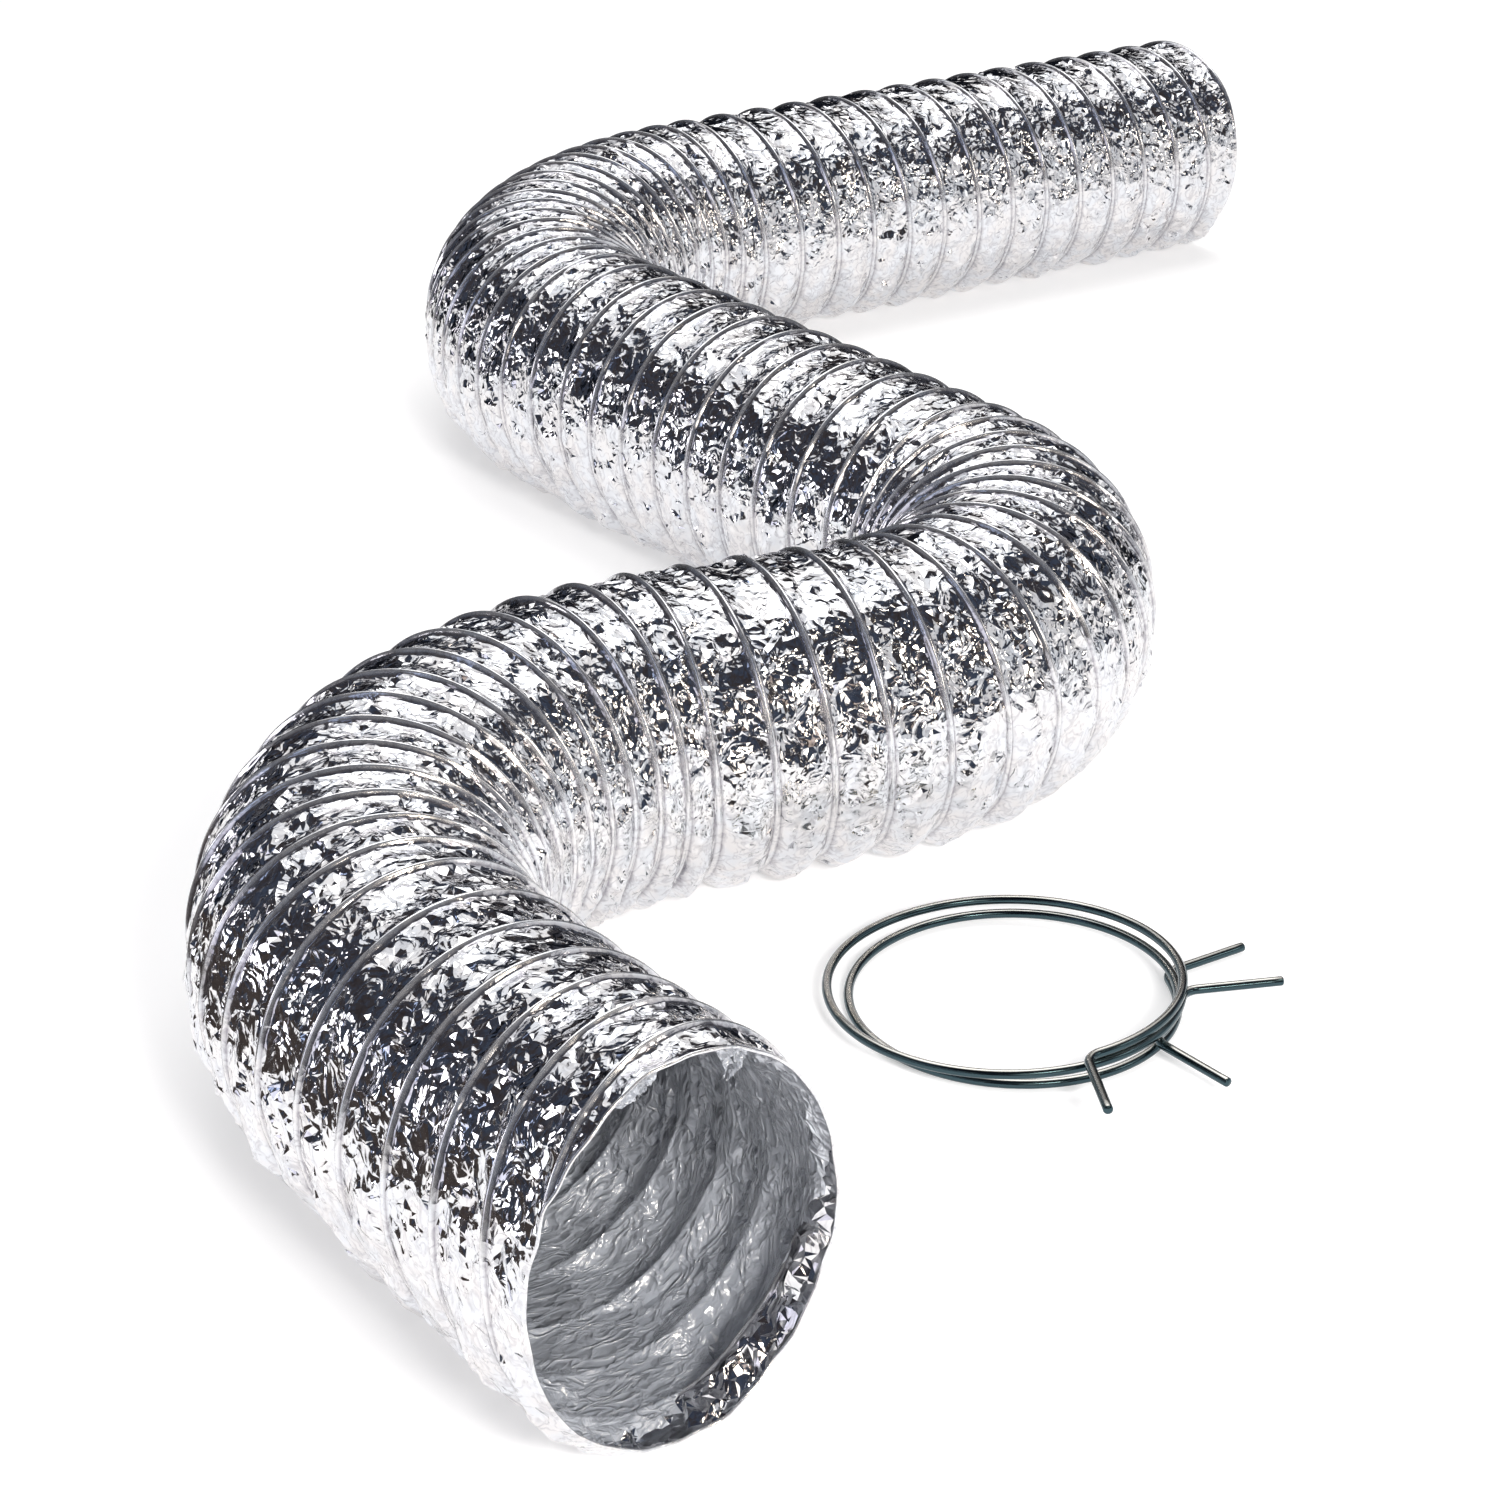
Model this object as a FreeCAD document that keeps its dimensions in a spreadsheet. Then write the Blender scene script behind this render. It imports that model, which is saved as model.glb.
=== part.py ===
import FreeCAD, Part
import math
import os

from FreeCAD import Placement, Rotation, Vector

# Flexible foil air duct with its two wire spring clamps.
# The duct lies on the floor in three flat bends. Its axis is the plane Z = 0, its front mouth
# is centred on the origin and opens towards -Y. Millimetres and degrees, +Z up.

doc = FreeCAD.newDocument("air_duct")
sheet = doc.addObject("Spreadsheet::Sheet", "Sizes")

DRIVING = [
    # Cross-section of the duct: a nominal 4 inch bore, the wall between two wires, and how far
    # the ridge over a wire stands above it
    ("bore_radius", 50.8),
    ("panel_wall", 1.1),
    ("ridge_rise", 1.6),
    ("floor_flat", 0.5),
    ("ring_sides", 20),
    # Route of the duct, from the front mouth to the back one
    ("front_run_length", 135.0),
    ("front_bend_radius", 136.0),
    ("front_bend_turn", -102.0),
    ("second_run_length", 72.5),
    ("middle_bend_radius", 95.0),
    ("middle_bend_turn", 105.7),
    ("third_run_length", 231.0),
    ("back_bend_radius", 152.0),
    ("back_bend_turn", -95.0),
    ("back_run_length", 52.0),
    ("stretch_zone_length", 178.0),
    ("back_end_length", 75.0),
    # Spacing of the wire's turns along each stretch of the duct
    ("first_wire_inset", 14.5),
    ("front_pitch", 23.2),
    ("front_bend_pitch", 17.5),
    ("second_pitch", 20.7),
    ("middle_bend_pitch", 15.2),
    ("third_pitch", 22.1),
    ("back_bend_pitch", 15.5),
    ("back_pitch", 21.5),
    # Wire clamps: each is one wire of a little over a turn, whose ends cross and stand out
    ("clamp_wire_radius", 1.5),
    ("wire_sides", 8),
    ("lower_ring_radius", 52.5),
    ("upper_ring_radius", 56.5),
    ("lower_overlap", 44.0),
    ("upper_overlap", 51.0),
    ("bow_half_angle", 20.0),
    ("ring_step", 10.0),
    ("tail_step", 18.0),
    ("tail_bend_radius", 7.0),
    ("tail_bend_turn", 72.0),
    ("tail_length", 27.0),
    ("crossing_gap", 0.6),
    ("clamp_centre_x", 207.0),
    ("clamp_centre_y", 126.0),
    ("upper_offset_x", -3.0),
    ("upper_offset_y", 1.0),
    ("lower_tails_heading", -44.5),
    ("upper_tails_heading", -71.5),
]

for row, (alias, value) in enumerate(DRIVING, start=1):
    sheet.set("A%d" % row, alias.replace("_", " "))
    sheet.set("B%d" % row, str(value))
    sheet.setAlias("B%d" % row, alias)
doc.recompute()


def size(alias):
    return float(getattr(sheet, alias))


# The duct's stretches in order: name, kind and the spacing of the wire in it
STRETCHES = [
    ("front_run", "run", "front_pitch"),
    ("front_bend", "bend", "front_bend_pitch"),
    ("second_run", "run", "second_pitch"),
    ("middle_bend", "bend", "middle_bend_pitch"),
    ("third_run", "run", "third_pitch"),
    ("back_bend", "bend", "back_bend_pitch"),
    ("back_run", "run", "back_pitch"),
    ("stretch_zone", "run", "back_pitch"),
    ("back_end", "run", "back_pitch"),
]


def stretch_length(name, kind):
    if kind == "run":
        return size(name + "_length")
    return size(name + "_radius") * math.radians(abs(size(name + "_turn")))


def local_point(name, kind, along):
    """Point and heading, in degrees, at a distance along a stretch that starts at 0, 0 along +X."""
    if kind == "run":
        return Vector(along, 0, 0), 0.0
    radius = size(name + "_radius")
    side = math.copysign(1.0, size(name + "_turn"))
    angle = along / radius
    point = Vector(radius * math.sin(angle), side * radius * (1 - math.cos(angle)), 0)
    return point, side * math.degrees(angle)


def ring_placement(name, kind, along):
    """A ring square to the route, with one of its flat sides at the bottom of the duct."""
    point, heading = local_point(name, kind, along)
    half_side = Rotation(Vector(0, 0, 1), 180 / size("ring_sides"))
    return Placement(point, facing(heading).multiply(half_side))


def facing(heading):
    """Turns a flat profile to stand square to a heading in the floor's plane, its X axis upright."""
    tangent = Vector(math.cos(math.radians(heading)), math.sin(math.radians(heading)), 0)
    up = Vector(0, 0, 1)
    return Rotation(up, tangent.cross(up), tangent, "XZY")


def ring_stations(start_turn, pitch, length):
    """Distances along a stretch at which a wire or the middle of a panel lies, with its turn count.
    A ring nearer to a stretch's end than the closest share of a turn is left out."""
    closest = 0.12
    end_turn = start_turn + length / pitch
    stations = [(0.0, start_turn)]
    half = math.ceil(2 * (start_turn + closest))
    while half / 2 < end_turn - closest:
        stations.append(((half / 2 - start_turn) * pitch, half / 2))
        half += 1
    stations.append((length, end_turn))
    return stations


def off_wire(turn):
    """0 on a wire and 1 in the middle of the panel between two wires."""
    return 2 * abs(turn - round(turn))


def add_ring(label, placement, sides, radius_expression):
    ring = doc.addObject("Part::RegularPolygon", label)
    ring.setExpression("Polygon", sides)
    ring.setExpression("Circumradius", radius_expression)
    ring.Placement = placement
    return ring


def add_loft(label, rings):
    loft = doc.addObject("Part::Loft", label)
    loft.Sections = rings
    loft.Solid = True
    loft.Ruled = True
    loft.Linearize = True
    return loft


def add_cut(label, base, tool):
    cut = doc.addObject("Part::Cut", label)
    cut.Base = base
    cut.Tool = tool
    cut.Refine = False
    return cut


def add_ribs(name, kind, stations):
    """Outer wall: a ruled loft that rises to a ridge over each wire and falls between them."""
    rings = []
    for count, (along, turn) in enumerate(stations):
        share = 1 - round(off_wire(turn), 6)
        radius = "Sizes.bore_radius + Sizes.panel_wall + Sizes.ridge_rise * %.6f" % share
        label = "%s_ring_%d" % (name, count)
        rings.append(add_ring(label, ring_placement(name, kind, along), "Sizes.ring_sides", radius))
    return add_loft(name + "_ribs", rings)


def add_bore(name, kind, stations):
    """Air way: a plain cylinder in a run, and short straight steps from wire to wire round a bend."""
    if kind == "run":
        bore = doc.addObject("Part::Cylinder", name + "_bore")
        bore.setExpression("Radius", "Sizes.bore_radius")
        bore.setExpression("Height", "Sizes.%s_length" % name)
        bore.Placement = ring_placement(name, kind, 0)
        return bore
    every = 2
    inner = stations[every:-every:every]
    rings = []
    for count, (along, turn) in enumerate([stations[0]] + inner + [stations[-1]]):
        label = "%s_bore_ring_%d" % (name, count)
        place = ring_placement(name, kind, along)
        rings.append(add_ring(label, place, "Sizes.ring_sides", "Sizes.bore_radius"))
    return add_loft(name + "_bore", rings)


def ridge_radius():
    return size("bore_radius") + size("panel_wall") + size("ridge_rise")


def floor_level():
    return size("floor_flat") - ridge_radius() * math.cos(math.pi / size("ring_sides"))


def add_floor_cutter(name, length):
    """Block under the stretch that leaves the ridges flat where they rest on the floor."""
    reach = length + 2 * ridge_radius()
    block = doc.addObject("Part::Box", name + "_floor")
    block.setExpression("Height", "Sizes.bore_radius")
    block.Length = 2 * reach
    block.Width = 2 * reach
    block.Placement = Placement(Vector(-reach, -reach, floor_level() - size("bore_radius")), Rotation())
    return block


def build_duct():
    """All stretches of the duct, each placed where the one before it ends."""
    nodes = []
    place = Placement(Vector(0, 0, 0), Rotation(Vector(0, 0, 1), 90))
    turn = 1 - size("first_wire_inset") / size("front_pitch")
    for name, kind, pitch_alias in STRETCHES:
        pitch = size(pitch_alias)
        length = stretch_length(name, kind)
        stations = ring_stations(turn, pitch, length)
        ribs = add_ribs(name, kind, stations)
        walls = add_cut(name + "_walls", ribs, add_bore(name, kind, stations))
        sleeve = add_cut(name, walls, add_floor_cutter(name, length))
        sleeve.Placement = place
        nodes.append(sleeve)
        point, heading = local_point(name, kind, length)
        place = place.multiply(Placement(point, Rotation(Vector(0, 0, 1), heading)))
        turn += length / pitch
    return nodes


def polar(radius, angle):
    return Vector(radius * math.cos(math.radians(angle)), radius * math.sin(math.radians(angle)), 0)


def even_steps(span, largest):
    """Fractions from 0 to 1 that divide a span into steps no larger than asked."""
    count = math.ceil(abs(span) / largest)
    return [step / count for step in range(count + 1)]


def bow_path(radius):
    """Points and headings of the short arc opposite the tails, about a ring centred on 0, 0."""
    half = size("bow_half_angle")
    angles = [180 - half + 2 * half * share for share in even_steps(2 * half, size("ring_step"))]
    return [(polar(radius, angle), angle + 90) for angle in angles]


def arm_path(radius, overlap, side):
    """Half of a clamp: from the bow round past the other arm, then out along its tail.
    The tails point along +X, and side is 1 for the arm that runs anticlockwise."""
    first = 180 + side * size("bow_half_angle")
    last = 180 + side * (180 + overlap / 2)
    path = []
    for share in even_steps(last - first, size("ring_step")):
        angle = first + (last - first) * share
        path.append((polar(radius, angle), angle + side * 90))
    end, heading = path[-1]
    bend_radius = size("tail_bend_radius")
    centre = end + polar(bend_radius, last)
    for share in even_steps(size("tail_bend_turn"), size("tail_step"))[1:]:
        turned = side * size("tail_bend_turn") * share
        path.append((centre + polar(bend_radius, last + 180 - turned), heading - turned))
    end, heading = path[-1]
    path.append((end + polar(size("tail_length"), heading), heading))
    return path


def add_wire(label, path, placement):
    """Round wire: a ruled loft through small even-sided rings along a path that lies in one plane."""
    rings = []
    for count, (point, heading) in enumerate(path):
        place = Placement(point, facing(heading))
        name = "%s_ring_%d" % (label, count)
        rings.append(add_ring(name, place, "Sizes.wire_sides", "Sizes.clamp_wire_radius"))
    wire = add_loft(label, rings)
    wire.Placement = placement
    return wire


def tilted(centre, heading, radius, height, rise):
    """Placement of a ring whose bow is at one height and whose tails' side is higher by rise."""
    slope = math.degrees(math.asin(rise / (2 * radius)))
    middle = centre + Vector(0, 0, height + rise / 2)
    turn = Rotation(Vector(0, 0, 1), heading)
    return Placement(middle, turn.multiply(Rotation(Vector(0, 1, 0), -slope)))


def build_clamp(name, centre, heading, radius, overlap, bow_height, base_rise):
    """One clamp: the bow opposite the tails, and two arms that pass one above the other."""
    step = 2 * size("clamp_wire_radius") + size("crossing_gap")
    low = tilted(centre, heading, radius, bow_height, base_rise)
    high = tilted(centre, heading, radius, bow_height, base_rise + step)
    return [
        add_wire(name + "_bow", bow_path(radius), low),
        add_wire(name + "_near_arm", arm_path(radius, overlap, 1), low),
        add_wire(name + "_far_arm", arm_path(radius, overlap, -1), high),
    ]


def build_clamps():
    wire = size("clamp_wire_radius")
    step = 2 * wire + size("crossing_gap")
    centre = Vector(size("clamp_centre_x"), size("clamp_centre_y"), floor_level())
    shift = Vector(size("upper_offset_x"), size("upper_offset_y"), 0)
    lower = build_clamp("lower_clamp", centre, size("lower_tails_heading"),
                        size("lower_ring_radius"), size("lower_overlap"), wire, 0.0)
    upper = build_clamp("upper_clamp", centre + shift, size("upper_tails_heading"),
                        size("upper_ring_radius"), size("upper_overlap"), wire + step, step)
    return lower + upper


def check_and_export(nodes):
    doc.recompute()
    for item in doc.Objects:
        bad = [state for state in item.State if state in ("Invalid", "Error")]
        assert not bad, "%s: %s" % (item.Label, bad)
    os.makedirs("parts", exist_ok=True)
    for node in nodes:
        shape = node.Shape
        assert not shape.isNull() and shape.isValid(), node.Label
        assert len(shape.Solids) == 1, node.Label
        shape.exportStep("parts/%s.step" % node.Label)
        box = shape.BoundBox
        print("%-22s %9.0f mm3  X %7.1f %7.1f  Y %7.1f %7.1f  Z %6.1f %6.1f" % (
            node.Label, shape.Volume, box.XMin, box.XMax, box.YMin, box.YMax, box.ZMin, box.ZMax))


check_and_export(build_duct() + build_clamps())
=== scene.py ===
import bpy
import math
import numpy as np
from collections import namedtuple
from mathutils import Matrix, Vector


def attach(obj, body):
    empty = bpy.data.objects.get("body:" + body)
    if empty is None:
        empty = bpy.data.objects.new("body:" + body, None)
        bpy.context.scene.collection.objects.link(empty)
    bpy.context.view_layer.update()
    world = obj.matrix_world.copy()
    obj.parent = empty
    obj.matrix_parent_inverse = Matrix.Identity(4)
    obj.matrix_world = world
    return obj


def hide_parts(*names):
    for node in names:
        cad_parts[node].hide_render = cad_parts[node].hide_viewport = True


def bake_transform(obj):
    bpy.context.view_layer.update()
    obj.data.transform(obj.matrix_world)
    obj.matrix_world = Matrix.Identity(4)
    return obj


# Flexible air duct of two foil plies over a wire helix, with its two wire spring clamps.
# Sizes are in millimetres and turns in degrees where they are named, and MM turns a size to metres.
# The lamps, cards and camera of the set are placed in metres.

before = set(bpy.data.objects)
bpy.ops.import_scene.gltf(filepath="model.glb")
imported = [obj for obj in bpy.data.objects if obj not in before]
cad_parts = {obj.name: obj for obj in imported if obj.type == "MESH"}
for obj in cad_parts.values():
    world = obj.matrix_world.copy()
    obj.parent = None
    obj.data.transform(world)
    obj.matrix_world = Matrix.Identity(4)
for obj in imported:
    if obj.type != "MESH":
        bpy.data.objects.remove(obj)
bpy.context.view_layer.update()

MM = 0.001

# Cross-section of the duct
WIRE_LINE = 53.2
PANEL_LINE = 52.2
FLOOR_LEVEL = -52.34

# The two plies: how far apart they lie, how close at a cut end, and over what length they meet there
PLY_GAP = 0.9
HEM_GAP = 0.05
PLIES_MEET = 5.0

# The thin roll of foil round a cut end, and its steps
HEM_RADIUS = 0.55
HEM_STEPS = 8

# The welt that the foil makes over a wire: half its width, how far it stands above the wire's line,
# where beside the wire its foot starts and how wide the foot is
WELT_HALF = 0.95
WELT_RISE = 0.35
WELT_FOOT = 0.65
WELT_FOOT_WIDTH = 1.1

# The route of the duct from the front mouth: length of a run, and radius and turn of a bend
FRONT_RUN = 135.0
FRONT_BEND_RADIUS = 136.0
FRONT_BEND_TURN = -102.0
SECOND_RUN = 72.5
MIDDLE_BEND_RADIUS = 95.0
MIDDLE_BEND_TURN = 105.7
THIRD_RUN = 231.0
BACK_BEND_RADIUS = 152.0
BACK_BEND_TURN = -95.0
BACK_RUN = 52.0
STRETCH_ZONE = 178.0
BACK_END = 75.0

# Spacing of the wire along each stretch, and the first wire's distance from the front mouth
FRONT_PITCH = 23.2
FRONT_BEND_PITCH = 16.9
SECOND_PITCH = 20.7
MIDDLE_BEND_PITCH = 15.2
THIRD_PITCH = 22.1
BACK_BEND_PITCH = 15.5
BACK_PITCH = 21.5
FIRST_WIRE_INSET = 14.5

# Length or radius, turn (0 for a straight) and wire spacing of each stretch
STRETCHES = [
    (FRONT_RUN, 0.0, FRONT_PITCH),
    (FRONT_BEND_RADIUS, FRONT_BEND_TURN, FRONT_BEND_PITCH),
    (SECOND_RUN, 0.0, SECOND_PITCH),
    (MIDDLE_BEND_RADIUS, MIDDLE_BEND_TURN, MIDDLE_BEND_PITCH),
    (THIRD_RUN, 0.0, THIRD_PITCH),
    (BACK_BEND_RADIUS, BACK_BEND_TURN, BACK_BEND_PITCH),
    (BACK_RUN + STRETCH_ZONE + BACK_END, 0.0, BACK_PITCH),
]

# A small shift of the helix, in turns, that lines it up with the photograph's wires
HELIX_SHIFT = 0.06

# The front mouth as the photograph shows it: over its last stretch the duct is squeezed a little
# taller than wide, its wires turn to the right and lean back, and a lip of foil stands past them.
# All but the lip fades along the stretch, by the power MOUTH_FADE
MOUTH_REACH = 110.0
MOUTH_TURN = 6.5
MOUTH_LEAN = 9.0
MOUTH_RISE = 0.105
MOUTH_SQUEEZE = 0.06
MOUTH_LIP = 3.0
MOUTH_FADE = 1.5

# The way into the duct at its front mouth
INTO_MOUTH = np.array([0.0, 1.0, 0.0])

# Waves of the ragged cut round the front mouth: height, count round the mouth and start in radians
RAGGED_WAVES = [(0.5, 5, 1.0), (0.4, 11, 0.0), (0.25, 23, 2.0)]

# A panel of foil between two wires: its length when pulled taut, how far it is drawn in on the
# duct's upper side and hangs out on the lower sides, and how much both change from blob to blob
TAUT_PANEL = 24.5
DRAWN_IN = 1.3
DRAWN_IN_CHANGE = 0.7
HANG = 5.2
HANG_CHANGE = 1.7
BLOB_SIZE = 19.0

# The panel's curve from wire to wire is fuller than a sine's by this power. It hangs by this share
# at the height of the axis, and by more further down. Only this far from a cut end is it full
PANEL_FULLNESS = 0.75
HANG_AT_AXIS = 0.35
HANG_BELOW = 0.95
FULL_FROM_END = 6.0

# Pleats of the panels where a bend has brought the wires together: how high on average, how much
# that changes from one to the next, and how wide they are
PLEAT_HEIGHT = 0.4
PLEAT_CHANGE = 1.8
PLEAT_SIZE = 9.0

# Crumpled flakes of the foil: large and small ones, how far from a wire or a cut end they reach
# their full height, and their share of it on a taut panel and what a slack one adds
FLAKE_HEIGHT = 1.1
FLAKE_SIZE = 13.0
SMALL_FLAKE_HEIGHT = 0.35
SMALL_FLAKE_SIZE = 6.0
FLAKE_RISE = 3.5
FLAKES_WHEN_TAUT = 0.85
FLAKES_BY_SLACK = 0.3

# A flake's dent: how steeply it rises from its middle beside its lean, and the span and level
# that bring all dents to about -1 to 1
DENT_RISE = 0.6
DENT_SPAN = 1.4
DENT_LEVEL = 0.4

# The lining: how far it hangs off the panel, its long folds, how far from a wire they reach their
# full height and what is left of them over it, how far the wire presses the lining out, and how
# slim beside the duct the tube is on which the folds are drawn, so that they run round it
LINING_SAG = 0.9
LINING_FOLD_HEIGHT = 0.9
LINING_FOLD_SIZE = 7.0
LINING_FOLD_RISE = 4.0
LINING_FOLD_LEFT = 0.2
LINING_WIRE_MARK = 0.5
FOLD_TUBE = 0.5

# Pleats just inside a cut end: how many round the duct, how high, how far in and how long, and
# how far they wander from even places, in radians, with the size of that wandering
LIP_PLEATS = 17
LIP_PLEAT_HEIGHT = 1.5
LIP_PLEAT_DEPTH = 7.0
LIP_PLEAT_LENGTH = 4.0
LIP_PLEAT_WANDER = 2.2
LIP_WANDER_SIZE = 14.0

# The foil that is folded into the front mouth: the middle of the fold round the mouth, how far
# it reaches to each side and how it thins out there, how deep it goes in, its ragged edge, and how
# thick its roll is
FOLD_MIDDLE = 238
FOLD_HALF = 72
FOLD_FADE = 0.7
FOLD_DEPTH = 17
FOLD_DEPTH_CHANGE = 5
FOLD_EDGE_SIZE = 6.0
FOLD_ROLL = 5.0

# Rows of the foil mesh from one wire to the next, as shares of the wire's spacing, with the
# rows crowded round the wire so that its welt is round, and points round the duct
ROWS = [0.0, 0.022, 0.045, 0.07, 0.12, 0.2, 0.29, 0.38, 0.47,
        0.56, 0.65, 0.74, 0.83, 0.9, 0.933, 0.955, 0.978]
COARSE_ROWS = ROWS[::2]
COLUMNS = 176

# How far the mesh's points stray, as a share of the room between them, and how much of that is
# left over a wire, whose rows lie within the shares given. Faces nearer to it are shaded smooth
STRAY = 0.36
WIRE_STRAY = 0.15
WIRE_ROWS = 0.1
SMOOTH_ROWS = 0.075

# Turns of the wire by which a strip of foil runs past the length that is cut from it
SPARE_TURNS = 2


def to_linear(code):
    """Linear colour of an sRGB hex code."""
    parts = [int(code[i:i + 2], 16) / 255 for i in (0, 2, 4)]
    return [c / 12.92 if c <= 0.04045 else ((c + 0.055) / 1.055) ** 2.4 for c in parts] + [1.0]


def add_object(name, data):
    """Puts a mesh, a lamp or a camera in the scene as an object."""
    made = bpy.data.objects.new(name, data)
    bpy.context.scene.collection.objects.link(made)
    return made


# The route


# One run or bend: where it starts along the duct, its length, its first point and heading, its
# curvature, the wire's turn count at its start and the wire's spacing
Stretch = namedtuple("Stretch", "start length place heading curve turns pitch")


class Route:
    """Centre line of the duct, and the count of the wire's turns along it."""

    def __init__(self):
        place = np.array([0.0, 0.0])
        heading = math.pi / 2
        along = 0.0
        turns = 1 - FIRST_WIRE_INSET / FRONT_PITCH
        self.parts = []
        for size, turn, pitch in STRETCHES:
            length = size if turn == 0 else size * math.radians(abs(turn))
            curve = 0.0 if turn == 0 else math.copysign(1 / size, turn)
            self.parts.append(Stretch(along, length, place, heading, curve, turns, pitch))
            if turn == 0:
                step = length * np.array([math.cos(heading), math.sin(heading)])
            else:
                last = heading + math.radians(turn)
                step = np.array([math.sin(last) - math.sin(heading),
                                 math.cos(heading) - math.cos(last)]) / curve
                heading = last
            place = place + step
            along += length
            turns += length / pitch
        self.length = along
        self.marks = np.array([part.start for part in self.parts] + [along])
        self.counts = np.array([part.turns for part in self.parts] + [turns])

    def at(self, s):
        """x, y, heading and curvature at distances s, straight on past both ends."""
        out = [np.zeros_like(s) for _ in range(4)]
        for i, part in enumerate(self.parts):
            low = -math.inf if i == 0 else part.start
            high = math.inf if i == len(self.parts) - 1 else part.start + part.length
            here = (s >= low) & (s < high)
            d = s[here] - part.start
            heading = part.heading + part.curve * d
            if part.curve == 0:
                x = part.place[0] + d * math.cos(part.heading)
                y = part.place[1] + d * math.sin(part.heading)
            else:
                x = part.place[0] + (np.sin(heading) - math.sin(part.heading)) / part.curve
                y = part.place[1] - (np.cos(heading) - math.cos(part.heading)) / part.curve
            for store, value in zip(out, (x, y, heading, part.curve)):
                store[here] = value
        return out

    def turns_at(self, s):
        """The wire's turn count at distances s, going on at the same spacing past both ends."""
        turns = np.interp(s, self.marks, self.counts)
        turns = np.where(s < 0, self.counts[0] + s / self.parts[0].pitch, turns)
        past = self.counts[-1] + (s - self.length) / self.parts[-1].pitch
        return np.where(s > self.length, past, turns)

    def distance_at(self, turns):
        """Distances along the duct at which the wire has made so many turns."""
        s = np.interp(turns, self.counts, self.marks)
        s = np.where(turns < self.counts[0], (turns - self.counts[0]) * self.parts[0].pitch, s)
        past = self.length + (turns - self.counts[-1]) * self.parts[-1].pitch
        return np.where(turns > self.counts[-1], past, s)

    def pitch_at(self, s):
        """The wire's spacing along the centre line at distances s."""
        pitches = np.array([part.pitch for part in self.parts])
        return pitches[np.searchsorted(self.marks[1:-1], s, side="right")]


route = Route()


# Crumpled foil


# Large odd numbers that mix a cell's place into a number without order
CELL_FACTORS = (374761393, 668265263, 2147483647)
SALT_FACTOR = 974711
MIX_FACTOR = 1274126177
LOW_BITS = 0xFFFFFF


def scatter(cells, salt):
    """A repeatable random number from 0 to 1 for each whole-number cell. Each pattern has its own
    salt, so that no two patterns are alike."""
    mixed = sum(cells[..., k] * factor for k, factor in enumerate(CELL_FACTORS)) + salt * SALT_FACTOR
    mixed = (mixed ^ (mixed >> 13)) * MIX_FACTOR
    mixed = mixed ^ (mixed >> 16)
    return (mixed & LOW_BITS) / float(LOW_BITS + 1)


def soft_noise(points, size, salt):
    """Smooth noise from -1 to 1 whose bumps are about size millimetres wide."""
    scaled = points / size
    base = np.floor(scaled).astype(np.int64)
    part = scaled - base
    part = part * part * (3 - 2 * part)
    total = np.zeros(points.shape[:-1])
    for corner in range(8):
        step = np.array([corner & 1, corner >> 1 & 1, corner >> 2 & 1])
        weight = np.prod(np.where(step == 1, part, 1 - part), axis=-1)
        total += weight * scatter(base + step, salt)
    return 2 * total - 1


def creases(points, size, salt):
    """Crumpled foil: flat-sided dents about size millimetres wide that meet in sharp creases.
    Each dent leans its own way, and the result runs from about -1 to 1."""
    scaled = points / size
    base = np.floor(scaled).astype(np.int64)
    nearest = np.full(points.shape[:-1], math.inf)
    height = np.zeros(points.shape[:-1])
    for corner in range(27):
        step = np.array([corner % 3 - 1, corner // 3 % 3 - 1, corner // 9 - 1])
        cell = base + step
        seed = np.stack([scatter(cell, salt + k) for k in (1, 2, 3)], -1)
        lean = np.stack([scatter(cell, salt + k) for k in (4, 5, 6)], -1) * 2 - 1
        away = scaled - cell - seed
        distance = np.sum(away * away, -1)
        closer = distance < nearest
        nearest = np.where(closer, distance, nearest)
        dent = np.sum(away * lean, -1) + DENT_RISE * np.sqrt(distance)
        height = np.where(closer, dent, height)
    return height * DENT_SPAN - DENT_LEVEL


def wire_ridge(off):
    """Cross-section of the foil over a wire: 1 on top of the wire and 0 where the foil leaves it."""
    return np.exp(-(off / WELT_HALF) ** 2)


def mouth_cut(angle):
    """Where the foil is cut off round the front mouth, measured along the duct from its end."""
    ragged = sum(height * np.sin(count * angle + start) for height, count, start in RAGGED_WAVES)
    return ragged - MOUTH_LEAN * np.clip(np.sin(angle), 0, 1) - MOUTH_LIP * (1 - np.cos(angle))


def from_cut(s, angle):
    """Distance along the duct to the nearer cut end."""
    return np.clip(np.minimum(s - mouth_cut(angle), route.length - s), 0, None)


def narrow_tube(s, angle):
    """Places on a narrower tube, so that a pattern drawn there runs round the lining in long folds."""
    narrow = FOLD_TUBE * PANEL_LINE
    return np.stack([narrow * np.cos(angle), narrow * np.sin(angle), s], -1)


def fold_share(angle):
    """How much of the foil is folded into the front mouth: most low on its right side."""
    aside = np.abs((angle - math.radians(FOLD_MIDDLE)) / math.radians(FOLD_HALF))
    return np.clip(1 - aside, 0, 1) ** FOLD_FADE


def turned_in(s, angle, points):
    """Where the lining is covered by the bright outer foil that is folded into the mouth."""
    depth = FOLD_DEPTH + FOLD_DEPTH_CHANGE * soft_noise(points, FOLD_EDGE_SIZE, salt=83)
    return from_cut(s, angle) < depth * fold_share(angle)


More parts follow.
